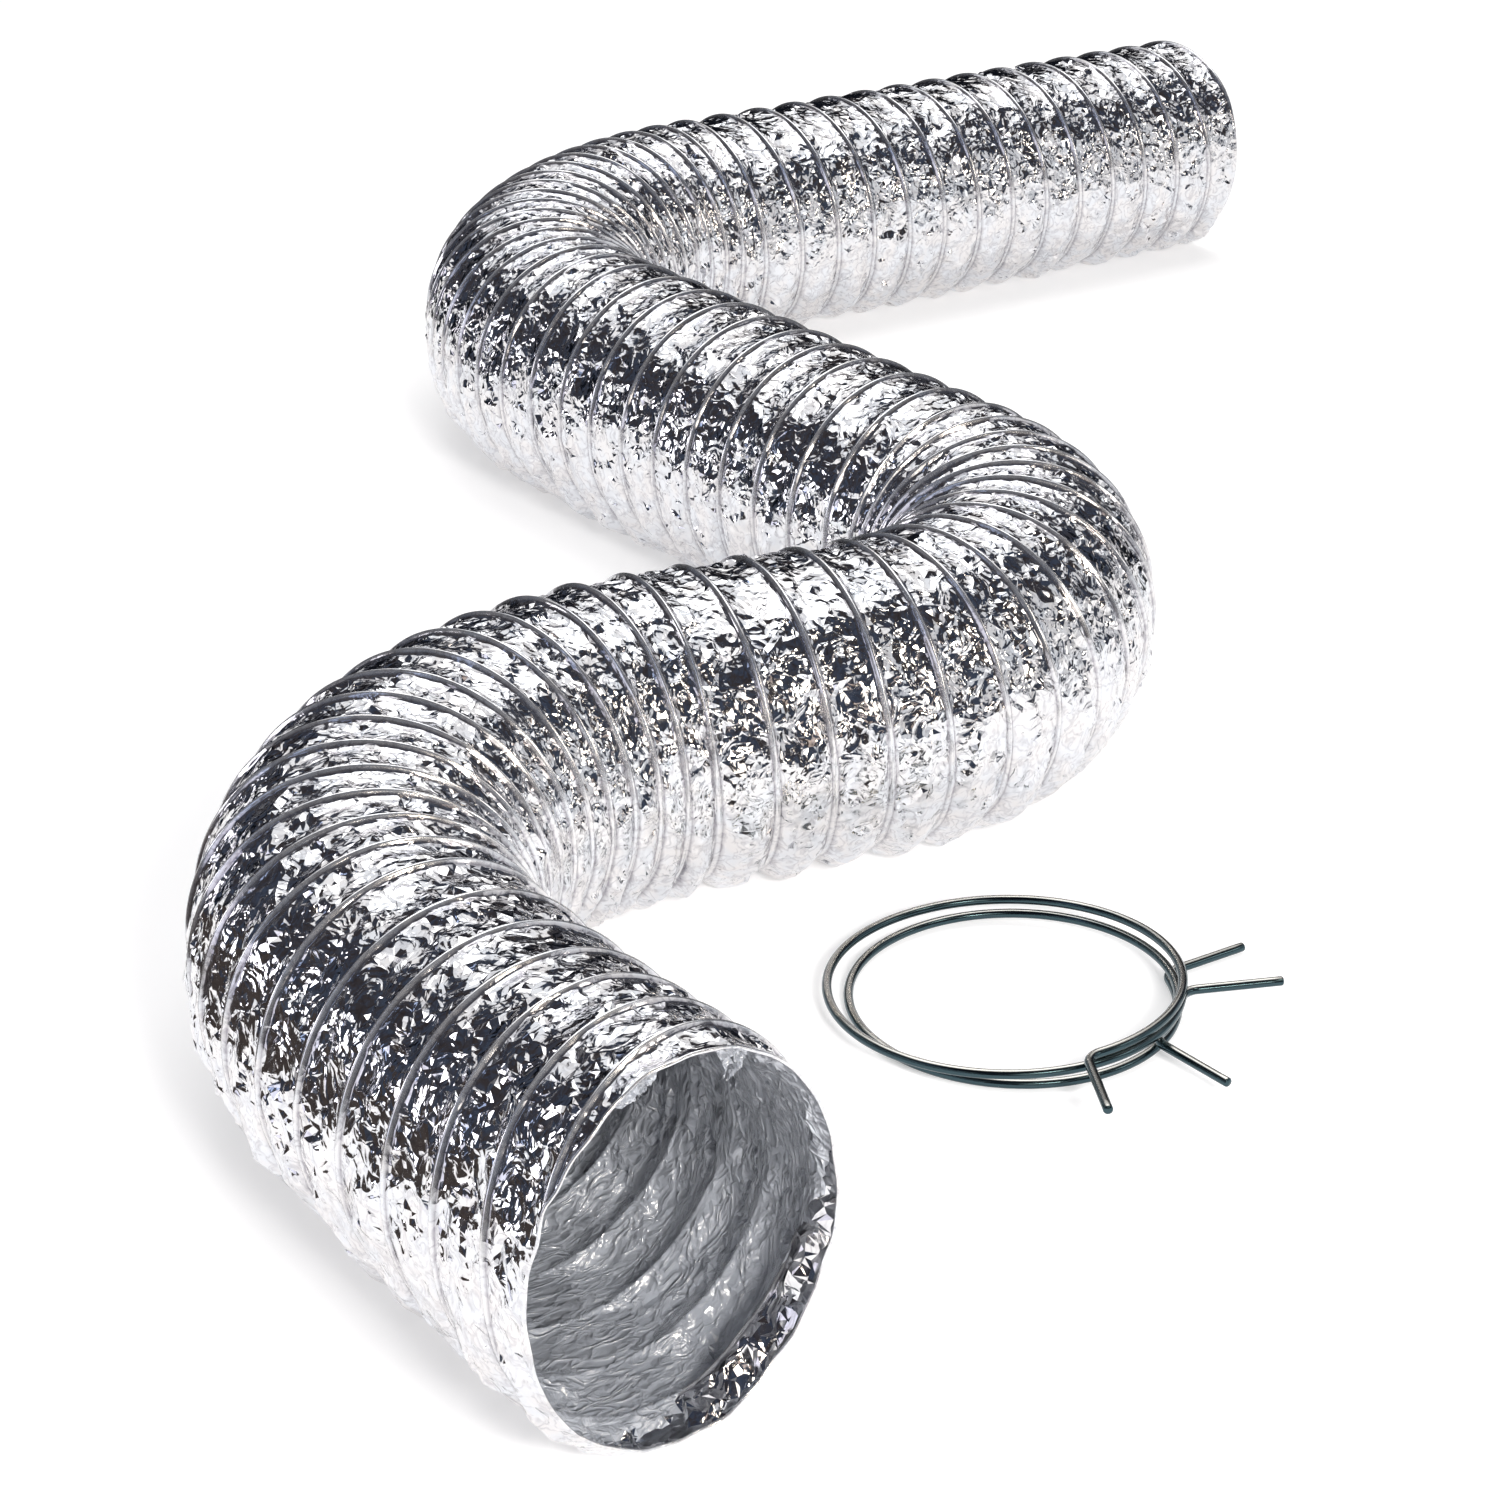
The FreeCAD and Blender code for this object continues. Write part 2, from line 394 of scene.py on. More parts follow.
def panel_radius(angle, share, slack, from_end, points):
    """The foil between two wires, before it is crumpled: drawn in on the duct's upper side, hanging
    out on its lower sides, and pleated where the wires have come together."""
    middle = np.sin(math.pi * share) ** PANEL_FULLNESS
    low_side = np.clip(HANG_AT_AXIS - HANG_BELOW * np.sin(angle), 0, 1)
    blob = soft_noise(points, BLOB_SIZE, salt=11)
    drawn_in = -DRAWN_IN + DRAWN_IN_CHANGE * blob
    hanging = HANG + HANG_CHANGE * blob
    belly = middle * (drawn_in * (1 - low_side) + hanging * low_side)
    pleat = middle * slack * (PLEAT_HEIGHT + PLEAT_CHANGE * soft_noise(points, PLEAT_SIZE, salt=23))
    return PANEL_LINE + (belly + pleat) * np.clip(from_end / FULL_FROM_END, 0, 1)


def lining_radius(s, angle, off, from_end, free, panel, points):
    """The inner ply away from the cut ends: it hangs off the panel in long folds, with pleats just
    inside the mouth and the roll of foil that is folded into it."""
    folds = LINING_FOLD_HEIGHT * creases(narrow_tube(s, angle), LINING_FOLD_SIZE, salt=61)
    folds = folds * np.clip(off / LINING_FOLD_RISE, LINING_FOLD_LEFT, 1)
    wander = LIP_PLEAT_WANDER * soft_noise(points, LIP_WANDER_SIZE, salt=91)
    pleats = np.abs(np.sin(LIP_PLEATS * angle + wander)) - 1
    near_lip = np.exp(-((from_end - LIP_PLEAT_DEPTH) / LIP_PLEAT_LENGTH) ** 2)
    folds = folds + LIP_PLEAT_HEIGHT * pleats * near_lip
    roll = FOLD_ROLL * fold_share(angle) * np.sin(math.pi * np.clip(from_end / FOLD_DEPTH, 0, 1))
    return panel - PLY_GAP - LINING_SAG - roll + folds * free + LINING_WIRE_MARK * wire_ridge(off)


def foil_radius(s, angle, share, spacing, slack, points, ply):
    """Distance of the foil from the duct's axis.
    share runs from 0 on one wire to 1 on the next, and slack is how far they have come together."""
    off = np.minimum(share, 1 - share) * spacing
    from_end = from_cut(s, angle)
    panel = panel_radius(angle, share, slack, from_end, points)
    flakes = FLAKE_HEIGHT * creases(points, FLAKE_SIZE, salt=31)
    flakes = flakes + SMALL_FLAKE_HEIGHT * creases(points, SMALL_FLAKE_SIZE, salt=47)
    free = np.clip(np.minimum(off, from_end) / FLAKE_RISE, 0, 1)
    panel = panel + flakes * free * (FLAKES_WHEN_TAUT + FLAKES_BY_SLACK * slack)
    outer = panel + (WIRE_LINE + WELT_RISE - panel) * wire_ridge(off)
    if ply == "outer":
        return outer
    lining = lining_radius(s, angle, off, from_end, free, panel, points)
    apart = np.clip(from_end / PLIES_MEET, 0, 1)
    return outer + (lining - outer) * apart - HEM_GAP * (1 - apart)


def spacing_at(s, angle):
    """Distance from one wire to the next on the duct's side at an angle, closer inside a bend."""
    curve = route.at(s)[3]
    return route.pitch_at(s) * (1 - curve * PANEL_LINE * np.cos(angle))


def place_round(s, angle, radius):
    """Points at distances along the duct and angles round it, with the shape of the front mouth."""
    near_mouth = np.clip(1 - s / MOUTH_REACH, 0, 1) ** MOUTH_FADE
    leant = s + near_mouth * (MOUTH_LEAN * np.clip(np.sin(angle), 0, 1) - MOUTH_TURN * np.cos(angle))
    x, y, heading, curve = route.at(leant)
    side = np.cos(angle) * (1 - MOUTH_SQUEEZE * near_mouth)
    height = radius * np.sin(angle)
    height = height + MOUTH_RISE * near_mouth * (height - FLOOR_LEVEL)
    return np.stack([x - np.sin(heading) * side * radius, y + np.cos(heading) * side * radius, height], -1)


def foil_points(s, angle, ply):
    """Points of the foil at distances s and angles round the axis, from the left side over the top."""
    turns = route.turns_at(s) - angle / (2 * math.pi) - HELIX_SHIFT
    share = turns - np.floor(turns)
    spacing = spacing_at(s, angle)
    slack = np.clip(1 - spacing / TAUT_PANEL, 0, 1)
    near = place_round(s, angle, np.full(s.shape, PANEL_LINE))
    points = place_round(s, angle, foil_radius(s, angle, share, spacing, slack, near, ply))
    inset = 0 if ply == "outer" else np.minimum(PLY_GAP, from_cut(s, angle) / PLIES_MEET)
    points[..., 2] = np.maximum(points[..., 2], FLOOR_LEVEL + inset)
    return points


# Meshes of the foil


def mesh_object(name, points, faces, smooth):
    """A mesh whose points keep their place at rest, so that patterns stay on the foil as it bends."""
    mesh = bpy.data.meshes.new(name)
    mesh.from_pydata(points.tolist(), [], faces.tolist())
    mesh.polygons.foreach_set("use_smooth", smooth)
    mesh.update()
    rest = mesh.attributes.new("rest", "FLOAT_VECTOR", "POINT")
    rest.data.foreach_set("vector", points.astype(np.float32).ravel())
    return add_object(name, mesh)


def set_loose(made, values):
    """Keeps on each point how loose the foil lies: 0 on the welt over a wire and 1 beside it."""
    loose = made.data.attributes.new("loose", "FLOAT", "POINT")
    loose.data.foreach_set("value", values.astype(np.float32))


def ring_faces(steps, sides):
    """Four-sided faces that join closed rings of points, one after the other."""
    faces = []
    for ring in range(steps):
        for k in range(sides):
            a = ring * sides + k
            b = ring * sides + (k + 1) % sides
            faces.append((a, b, b + sides, a + sides))
    return faces


def strip_grid(start, end, rows, columns):
    """Turn counts and angles of a strip's points. It starts and ends past the length that it is for."""
    first = math.floor(route.turns_at(start)) - SPARE_TURNS
    last = math.ceil(route.turns_at(end)) + SPARE_TURNS
    turns = np.array([whole + share for whole in range(first, last) for share in rows])
    angles = np.linspace(0, 2 * math.pi, columns, endpoint=False)
    return np.repeat(turns[:, None], columns, 1) + HELIX_SHIFT, np.repeat(angles[None, :], len(turns), 0)


def strayed(turns, angles, rows, seed):
    """Moves the points off their even places, so that no two facets of the foil are alike. Over a
    wire they stay in their rows, so that the welt is straight."""
    windings = len(turns) // len(rows)
    on_wire = [share < WIRE_ROWS or share > 1 - WIRE_ROWS for share in rows]
    free = np.tile(np.where(on_wire, 0.0, 1.0), windings)[:, None]
    room = np.tile(np.diff(rows + [1.0]), windings)[:, None]
    turns = turns + free * room * STRAY * seed.uniform(-1, 1, turns.shape)
    step = 2 * math.pi / turns.shape[1]
    angles = angles + (WIRE_STRAY + free) * STRAY * step * seed.uniform(-1, 1, turns.shape)
    return turns, angles


def winding_quads(shape, rows_each_turn):
    """Four-sided faces of a strip: after a whole turn it meets its own row of one wire further on."""
    index = np.arange(shape[0] * shape[1]).reshape(shape)
    beside = np.concatenate([index[:, 1:], np.roll(index, -rows_each_turn, 0)[:, :1]], 1)
    last = shape[0] - rows_each_turn
    corners = [index[:last], beside[:last], beside[1:last + 1], index[1:last + 1]]
    return np.stack(corners, -1).reshape(-1, 4)


def split_faces(quads, seed):
    """Two triangles for each face, cut along one diagonal or the other by chance."""
    flip = (seed.random(len(quads)) < 0.5)[:, None]
    one = np.where(flip, quads[:, [0, 1, 2]], quads[:, [1, 2, 3]])
    two = np.where(flip, quads[:, [0, 2, 3]], quads[:, [1, 3, 0]])
    return np.concatenate([one, two])


def foil_mesh(name, start, end, ply, rows, columns):
    """One length of one ply: a strip that winds round with the wire, cut square at both ends."""
    turns, even = strip_grid(start, end, rows, columns)
    seed = np.random.default_rng(int(start) + len(ply))
    turns, angles = strayed(turns, even, rows, seed)
    distance = route.distance_at(turns + angles / (2 * math.pi))
    cut = mouth_cut(even) if start == 0 else start
    inside = (distance > cut) & (distance < end)
    distance = np.clip(distance, cut, end)
    # Cut ends have evenly spaced points, so that two lengths meet point for point
    angles = np.where(inside, angles, even)
    points = foil_points(distance, angles, ply)
    quads = winding_quads(distance.shape, len(rows))
    quads = quads[inside.reshape(-1)[quads].any(1)]
    used, faces = np.unique(split_faces(quads, seed), return_inverse=True)
    faces = faces.reshape(-1, 3)
    if ply == "inner":
        faces = faces[:, ::-1]
    turns = turns.reshape(-1)[used] - HELIX_SHIFT
    from_wire = np.abs(turns - np.round(turns))
    smooth = from_wire[faces].max(1) < SMOOTH_ROWS
    made = mesh_object(name, points.reshape(-1, 3)[used] * MM, faces, smooth)
    off = from_wire * spacing_at(distance, angles).reshape(-1)[used]
    set_loose(made, np.clip((off - WELT_FOOT) / WELT_FOOT_WIDTH, 0, 1))
    if ply == "outer":
        made.data.materials.append(outer_foil)
        return made
    drawn = narrow_tube(distance, angles).reshape(-1, 3)[used] * MM
    made.data.attributes["rest"].data.foreach_set("vector", drawn.astype(np.float32).ravel())
    bright = turned_in(distance, angles, points).reshape(-1)[used][faces].all(1)
    made.data.materials.append(inner_foil)
    made.data.materials.append(folded_foil)
    made.data.polygons.foreach_set("material_index", bright.astype(np.int32))
    return made


def hem_mesh(name, at_front):
    """The cut end's edge: a thin roll of foil that joins the plies."""
    angle = np.linspace(0, 2 * math.pi, COLUMNS, endpoint=False)
    edge = mouth_cut(angle) if at_front else np.full(COLUMNS, route.length)
    outer = foil_points(edge, angle, "outer")
    outward = outer - place_round(edge, angle, np.zeros(COLUMNS))
    outward = outward / np.linalg.norm(outward, axis=1)[:, None]
    heading = route.at(edge)[2]
    along = np.stack([np.cos(heading), np.sin(heading), np.zeros(COLUMNS)], -1) * (1 if at_front else -1)
    rolls = []
    for k in range(HEM_STEPS + 1):
        turn = math.pi * k / HEM_STEPS
        inward = outward * HEM_RADIUS * (math.cos(turn) - 1)
        rolls.append(outer + inward - along * HEM_RADIUS * math.sin(turn))
    points = np.concatenate(rolls)
    points[:, 2] = np.maximum(points[:, 2], FLOOR_LEVEL)
    faces = np.array(ring_faces(HEM_STEPS, COLUMNS))
    if not at_front:
        faces = faces[:, ::-1]
    made = mesh_object(name, points * MM, faces, [True] * len(faces))
    set_loose(made, np.zeros(len(points)))
    return made


# A torn tongue: its points from side to side and from the rim to its tip, how much and how
# suddenly it narrows, and the waves of its ragged edge as share of its reach and count
TONGUE_SIDES = 15
TONGUE_STEPS = 12
TONGUE_TAPER = 0.75
TONGUE_POINT = 1.5
TONGUE_WAVES = [(0.25, 7), (0.15, 17)]
# Its flakes, and the length on which they are drawn from rim to tip
TONGUE_FLAKE_HEIGHT = 1.1
TONGUE_FLAKE_SIZE = 3.4
TONGUE_DRAWN = 9
# How far it curls out of the mouth and through how many radians, and how far its root lies
# inside the rim and behind it
TONGUE_CURL = 2.2
TONGUE_CURL_TURN = 2.4
TONGUE_INSET = 0.3
TONGUE_SINK = 0.4


def torn_flap(name, angle, width, reach):
    """A small torn tongue of foil that hangs into the front mouth from its rim and curls outwards."""
    sides = np.linspace(-1, 1, TONGUE_SIDES)
    across, out = np.meshgrid(sides, np.linspace(0, 1, TONGUE_STEPS), indexing="ij")
    taper = 1 - TONGUE_TAPER * out ** TONGUE_POINT
    around = math.radians(angle) + across * width * taper / PANEL_LINE
    ragged = 1 + sum(share * np.sin(count * across) for share, count in TONGUE_WAVES)
    rim = foil_points(mouth_cut(around), around, "outer")
    middle = place_round(mouth_cut(around), around, np.zeros(around.shape))
    inward = (middle - rim) / np.linalg.norm(middle - rim, axis=-1)[..., None]
    depth = reach * out * ragged
    crumple = TONGUE_FLAKE_HEIGHT * creases(rim + out[..., None] * TONGUE_DRAWN, TONGUE_FLAKE_SIZE, salt=71)
    curl = TONGUE_CURL * np.sin(out * TONGUE_CURL_TURN) + crumple
    points = rim + inward * (TONGUE_INSET + depth)[..., None]
    points = points - INTO_MOUTH * (curl - TONGUE_SINK)[..., None]
    index = np.arange(TONGUE_SIDES * TONGUE_STEPS).reshape(TONGUE_SIDES, TONGUE_STEPS)
    quads = np.stack([index[:-1, :-1], index[1:, :-1], index[1:, 1:], index[:-1, 1:]], -1).reshape(-1, 4)
    faces = np.concatenate([quads[:, [0, 1, 2]], quads[:, [0, 2, 3]]])
    points = points.reshape(-1, 3)
    made = mesh_object(name, points * MM, faces, [False] * len(faces))
    set_loose(made, np.ones(len(points)))
    return made


# Materials


def node(tree, kind, settings=None, **links):
    """Adds a node, sets its properties and sockets, and links sockets given as (node, output).
    A socket is linked by its name with _ for a space, or by _ and its number."""
    made = tree.nodes.new(kind)
    for key, value in (settings or {}).items():
        if isinstance(key, str) and hasattr(made, key):
            setattr(made, key, value)
        else:
            made.inputs[key].default_value = value
    for key, (source, output) in links.items():
        socket = made.inputs[int(key[1:])] if key[0] == "_" else made.inputs[key.replace("_", " ")]
        tree.links.new(source.outputs[output], socket)
    return made


def new_material(name):
    """An empty node material and its tree."""
    made = bpy.data.materials.new(name)
    made.use_nodes = True
    made.node_tree.nodes.clear()
    return made, made.node_tree


def finish_material(tree, shader):
    """Shows the shader on the surface."""
    node(tree, "ShaderNodeOutputMaterial", None, Surface=(shader, 0))


def set_tones(ramp, *tones):
    """Gives a colour ramp its tones, each a place from 0 to 1 and a hex colour."""
    for stop, (place, colour) in zip(ramp.color_ramp.elements, tones):
        stop.position = place
        stop.color = to_linear(colour)


def leaning_flakes(tree, rest, loose, size, lean):
    """A surface normal that leans its own way on each flake of foil, the flakes size across. It
    stands straight where the foil is stretched over a wire. The pattern's places wander, which
    bends the flakes' edges, and its low exponent gives them sharp corners."""
    wander = node(tree, "ShaderNodeTexNoise", {"Scale": 1.2 / size, "Detail": 2.0}, Vector=(rest, "Vector"))
    bent = node(tree, "ShaderNodeVectorMath", {"operation": "MULTIPLY_ADD", 1: (0.8 * size,) * 3},
                _0=(wander, "Color"), _2=(rest, "Vector"))
    flakes = node(tree, "ShaderNodeTexVoronoi",
                  {"distance": "MINKOWSKI", "Scale": 1 / size, "Exponent": 0.6}, Vector=(bent, 0))
    middle = node(tree, "ShaderNodeVectorMath", {"operation": "SUBTRACT", 1: (0.5,) * 3},
                  _0=(flakes, "Color"))
    facing = node(tree, "ShaderNodeNewGeometry")
    amount = node(tree, "ShaderNodeMath", {"operation": "MULTIPLY", 1: lean}, _0=(loose, "Fac"))
    scaled = node(tree, "ShaderNodeVectorMath", {"operation": "SCALE"}, _0=(middle, 0), Scale=(amount, 0))
    leaned = node(tree, "ShaderNodeVectorMath", {"operation": "ADD"}, _0=(scaled, 0), _1=(facing, "Normal"))
    return node(tree, "ShaderNodeVectorMath", {"operation": "NORMALIZE"}, _0=(leaned, 0))


def crinkled_aluminium_foil(name, lean):
    """Rolled aluminium foil on a polyester film, crumpled by hand: mirror-bright flakes a few
    millimetres across between sharp hairline creases, so it sparkles white and near-black, with a
    faint warm and blue shimmer. Painted shade greys the creases, most along the foot of the welt over
    each wire. On the welt the film is a little scuffed, so it is duller and less like a mirror."""
    made, tree = new_material(name)
    rest = node(tree, "ShaderNodeAttribute", {"attribute_name": "rest"})
    loose = node(tree, "ShaderNodeAttribute", {"attribute_name": "loose"})
    flake = 8.5 * MM
    leaned = leaning_flakes(tree, rest, loose, flake, lean)
    hairs = node(tree, "ShaderNodeTexNoise",
                 {"noise_type": "RIDGED_MULTIFRACTAL", "Scale": 1 / flake, "Detail": 1.5,
                  "Roughness": 0.55, "Lacunarity": 2.1, "Offset": 0.9, "Gain": 1.6, "Distortion": 0.7},
                 Vector=(rest, "Vector"))
    creased = node(tree, "ShaderNodeBump", {"Distance": 0.34 * MM},
                   Height=(hairs, 0), Normal=(leaned, 0), Strength=(loose, "Fac"))
    tone = node(tree, "ShaderNodeTexNoise", {"Scale": 1 / (9 * MM), "Detail": 2.0}, Vector=(rest, "Vector"))
    tint = node(tree, "ShaderNodeValToRGB", None, Fac=(tone, 0))
    set_tones(tint, (0.38, "e6e4e4"), (0.62, "e1e3e7"))
    # Painted shade: the hairline creases drawn by this noise grey the foil's colour, as shade in them.
    shaded_crease_lines = node(tree, "ShaderNodeTexNoise",
                  {"noise_type": "RIDGED_MULTIFRACTAL", "Scale": 1 / (4.5 * MM), "Detail": 2.0,
                   "Roughness": 0.6, "Offset": 0.9, "Gain": 1.8, "Distortion": 1.0}, Vector=(rest, "Vector"))
    grey = node(tree, "ShaderNodeMapRange", {"From Min": 0.75, "From Max": 1.5, "To Max": 0.45},
                Value=(shaded_crease_lines, 0))
    # Painted shade: the colour is greyed along the foot of the welt beside each wire.
    welt_foot_shade = node(tree, "ShaderNodeMath", {"operation": "PINGPONG", 1: 0.5}, _0=(loose, "Fac"))
    painted_crease_shade = node(tree, "ShaderNodeMath", {"operation": "MULTIPLY_ADD", 1: 1.5}, _0=(welt_foot_shade, 0), _2=(grey, 0))
    # The grey 9b989f is the colour of the painted shade; the tint ramp is the foil's own tone.
    tone_and_painted_shade = node(tree, "ShaderNodeMix", {"data_type": "RGBA", 7: to_linear("9b989f")},
                  _0=(painted_crease_shade, 0), _6=(tint, 0))
    rough = node(tree, "ShaderNodeMapRange", {"To Min": 0.2, "To Max": 0.09}, Value=(loose, "Fac"))
    bare = node(tree, "ShaderNodeMapRange", {"To Min": 0.86, "To Max": 1.0}, Value=(loose, "Fac"))
    shader = node(tree, "ShaderNodeBsdfPrincipled", None, Base_Color=(tone_and_painted_shade, 2), Metallic=(bare, 0),
                  Roughness=(rough, 0), Normal=(creased, 0))
    finish_material(tree, shader)
    return made


def dull_film_lining():
    """Inside of the duct: the foil's polyester film side, grey and half matt, with sharp wrinkles
    that run round with the wire and catch small bright glints."""
    made, tree = new_material("dull_film_lining")
    rest = node(tree, "ShaderNodeAttribute", {"attribute_name": "rest"})
    loose = node(tree, "ShaderNodeAttribute", {"attribute_name": "loose"})
    leaned = leaning_flakes(tree, rest, loose, 5.0 * MM, 0.45)
    wrinkles = node(tree, "ShaderNodeTexNoise",
                    {"noise_type": "RIDGED_MULTIFRACTAL", "Scale": 1 / (4.2 * MM), "Detail": 3.2,
                     "Roughness": 0.6, "Offset": 0.9, "Gain": 1.7, "Distortion": 0.9},
                    Vector=(rest, "Vector"))
    creased = node(tree, "ShaderNodeBump", {"Strength": 1.0, "Distance": 0.55 * MM},
                   Height=(wrinkles, 0), Normal=(leaned, 0))
    shader = node(tree, "ShaderNodeBsdfPrincipled",
                  {"Base Color": to_linear("c6c9cf"), "Metallic": 0.5, "Roughness": 0.22,
                   "Coat Weight": 0.9, "Coat Roughness": 0.07}, Normal=(creased, 0))
    finish_material(tree, shader)
    return made


def blackened_steel_wire():
    """Hard-drawn spring wire with a black oxide finish: near-black with a blue-green cast. Where its
    surface faces up its colour is painted pale grey, a painted highlight that runs as one long bright line."""
    made, tree = new_material("blackened_steel_wire")
    place = node(tree, "ShaderNodeTexCoord")
    facing = node(tree, "ShaderNodeNewGeometry")
    # Painted highlight: where the surface faces up, the colour turns from near-black to pale grey.
    up = node(tree, "ShaderNodeSeparateXYZ", None, _0=(facing, "Normal"))
    patches = node(tree, "ShaderNodeTexNoise", {"Scale": 1 / (12 * MM), "Detail": 3.0},
                   Vector=(place, "Object"))
    shifted = node(tree, "ShaderNodeMath", {"operation": "MULTIPLY_ADD", 1: 0.22},
                   _0=(patches, 0), _2=(up, "Z"))
    painted_top_highlight = node(tree, "ShaderNodeMapRange", {"From Min": 0.86, "From Max": 1.06}, Value=(shifted, 0))
    tint = node(tree, "ShaderNodeValToRGB", None, Fac=(painted_top_highlight, 0))
    # 3f5157 is the wire's own near-black; b9b7b1 is the painted highlight.
    set_tones(tint, (0.0, "3f5157"), (1.0, "b9b7b1"))
    rough = node(tree, "ShaderNodeMapRange", {"To Min": 0.15, "To Max": 0.22}, Value=(patches, 0))
    shader = node(tree, "ShaderNodeBsdfPrincipled", {"Metallic": 1.0},
                  Base_Color=(tint, 0), Roughness=(rough, 0))
    finish_material(tree, shader)
    return made


# Lights, floor and camera


# The middle of the floor and of the canopy, and what the lamps point at: the middle of the duct,
# its front length and its front mouth
SET_MIDDLE = (0.3, 0.4, 0.0)
DUCT_MIDDLE = (0.37, 0.37, 0.0)
FRONT_LENGTH = (0.2, 0.3, 0.0)
FRONT_MOUTH = (0.0, 0.1, 0.0)

# The floor lies a little below the duct, so that the two don't share a face
FLOOR_SIZE = 12
FLOOR_DROP = 0.0004
CANOPY_RADIUS = 5.5

# The photograph's camera: its place, the way it looks, and its focal length as a multiple of its
# sensor's width
CAMERA_PLACE = (-0.361887, -0.570308, 0.473679)
CAMERA_WAY = (0.501165, 0.746100, -0.438371)
SENSOR_WIDTH = 36
FOCAL_SHARE = 2.155798


def background_rays(tree):
    """1 for the rays that see the background: the camera's, and those off metal and through film."""
    path = node(tree, "ShaderNodeLightPath")
    direct = node(tree, "ShaderNodeMath", None, _0=(path, "Is Camera Ray"), _1=(path, "Is Glossy Ray"))
    return node(tree, "ShaderNodeMath", {"use_clamp": True},
                _0=(direct, 0), _1=(path, "Is Transmission Ray"))


def pale_floor():
    """White paper floor that keeps the duct's shadow and fades to plain white far from it."""
    place = Vector(SET_MIDDLE) + Vector((0, 0, FLOOR_LEVEL * MM - FLOOR_DROP))
    bpy.ops.mesh.primitive_plane_add(size=FLOOR_SIZE, location=place)
    floor = bpy.context.object
    floor.name = "floor"
    made, tree = new_material("matt_white_paper")
    matte = node(tree, "ShaderNodeBsdfDiffuse", {"Color": to_linear("dcdad9")})
    glow = node(tree, "ShaderNodeEmission", {"Color": (1, 1, 1, 1), "Strength": 0.42})
    white = node(tree, "ShaderNodeEmission", {"Color": (1, 1, 1, 1), "Strength": 1.0})
    place = node(tree, "ShaderNodeTexCoord")
    away = node(tree, "ShaderNodeVectorMath", {"operation": "LENGTH"}, _0=(place, "Object"))
    far = node(tree, "ShaderNodeMapRange", {"From Min": 0.75, "From Max": 1.6}, Value=(away, "Value"))
    both = node(tree, "ShaderNodeAddShader", None, _0=(matte, 0), _1=(glow, 0))
    seen = node(tree, "ShaderNodeMixShader", None, Fac=(far, 0), _1=(both, 0), _2=(white, 0))
    mix = node(tree, "ShaderNodeMixShader", None, Fac=(background_rays(tree), 0),
               _1=(matte, 0), _2=(seen, 0))
    finish_material(tree, mix)
    floor.data.materials.append(made)


def studio_world():
    """A grey room lights the duct, and the background rays see plain white."""
    world = bpy.data.worlds.new("studio")
    bpy.context.scene.world = world
    world.use_nodes = True
    tree = world.node_tree
    tree.nodes.clear()
    room = node(tree, "ShaderNodeBackground", {"Color": to_linear("c4c7cc"), "Strength": 0.5})
    white = node(tree, "ShaderNodeBackground", {"Color": (1, 1, 1, 1), "Strength": 1.0})
    whole = node(tree, "ShaderNodeMixShader", None, Fac=(background_rays(tree), 0),
                 _1=(room, 0), _2=(white, 0))
    node(tree, "ShaderNodeOutputWorld", None, Surface=(whole, 0))


def reflections_only(panel):
    """Hides a panel of the set from all but reflections."""
    panel.visible_camera = False
    panel.visible_diffuse = False
    panel.visible_shadow = False


def dark_canopy():
    """Dark cloth round and over the set, in warm and cool greys, that only reflections see, as used
    round shiny goods. It gives the foil its near-black flakes."""
    bpy.ops.mesh.primitive_uv_sphere_add(segments=48, ring_count=24, radius=CANOPY_RADIUS,
                                         location=SET_MIDDLE)
    canopy = bpy.context.object
    canopy.name = "dark_canopy"
    made, tree = new_material("dark_cloth")
    place = node(tree, "ShaderNodeTexCoord")
    patches = node(tree, "ShaderNodeTexNoise", {"Scale": 2.6 / CANOPY_RADIUS, "Detail": 2.0},
                   Vector=(place, "Object"))
    shade = node(tree, "ShaderNodeValToRGB", None, Fac=(patches, 0))
    set_tones(shade, (0.4, "3a3536"), (0.6, "3e4656"))
    finish_material(tree, node(tree, "ShaderNodeEmission", {"Strength": 1.0}, Color=(shade, 0)))
    made.cycles.emission_sampling = "NONE"
    canopy.data.materials.append(made)
    reflections_only(canopy)


def dark_card(name, place, facing, width, height, colour):
    """Dark card beside the set that only reflections see, as used round shiny goods."""
    bpy.ops.mesh.primitive_plane_add(size=1, location=place)
    card = bpy.context.object
    card.name = name
    card.rotation_euler = Vector(facing).to_track_quat("Z", "Y").to_euler()
    card.scale = (width, height, 1)
    made, tree = new_material("matt_" + name)
    finish_material(tree, node(tree, "ShaderNodeBsdfDiffuse", {"Color": to_linear(colour)}))
    card.data.materials.append(made)
    reflections_only(card)


def soft_box(name, place, target, width, height, power, tint="ffffff"):
    """A lamp behind a lit rectangle that faces the target. Its power is in watts."""
    light = bpy.data.lights.new(name, "AREA")
    light.shape = "RECTANGLE"
    light.size = width
    light.size_y = height
    light.energy = power
    light.color = to_linear(tint)[:3]
    made = add_object(name, light)
    made.location = place
    made.rotation_euler = (Vector(target) - Vector(place)).to_track_quat("-Z", "Y").to_euler()
    return made


def photo_camera():
    """The camera where the photograph was taken from."""
    data = bpy.data.cameras.new("photo_camera")
    data.sensor_width = SENSOR_WIDTH
    data.lens = SENSOR_WIDTH * FOCAL_SHARE
    made = add_object("photo_camera", data)
    made.location = CAMERA_PLACE
    made.rotation_euler = Vector(CAMERA_WAY).to_track_quat("-Z", "Y").to_euler()
    bpy.context.scene.camera = made


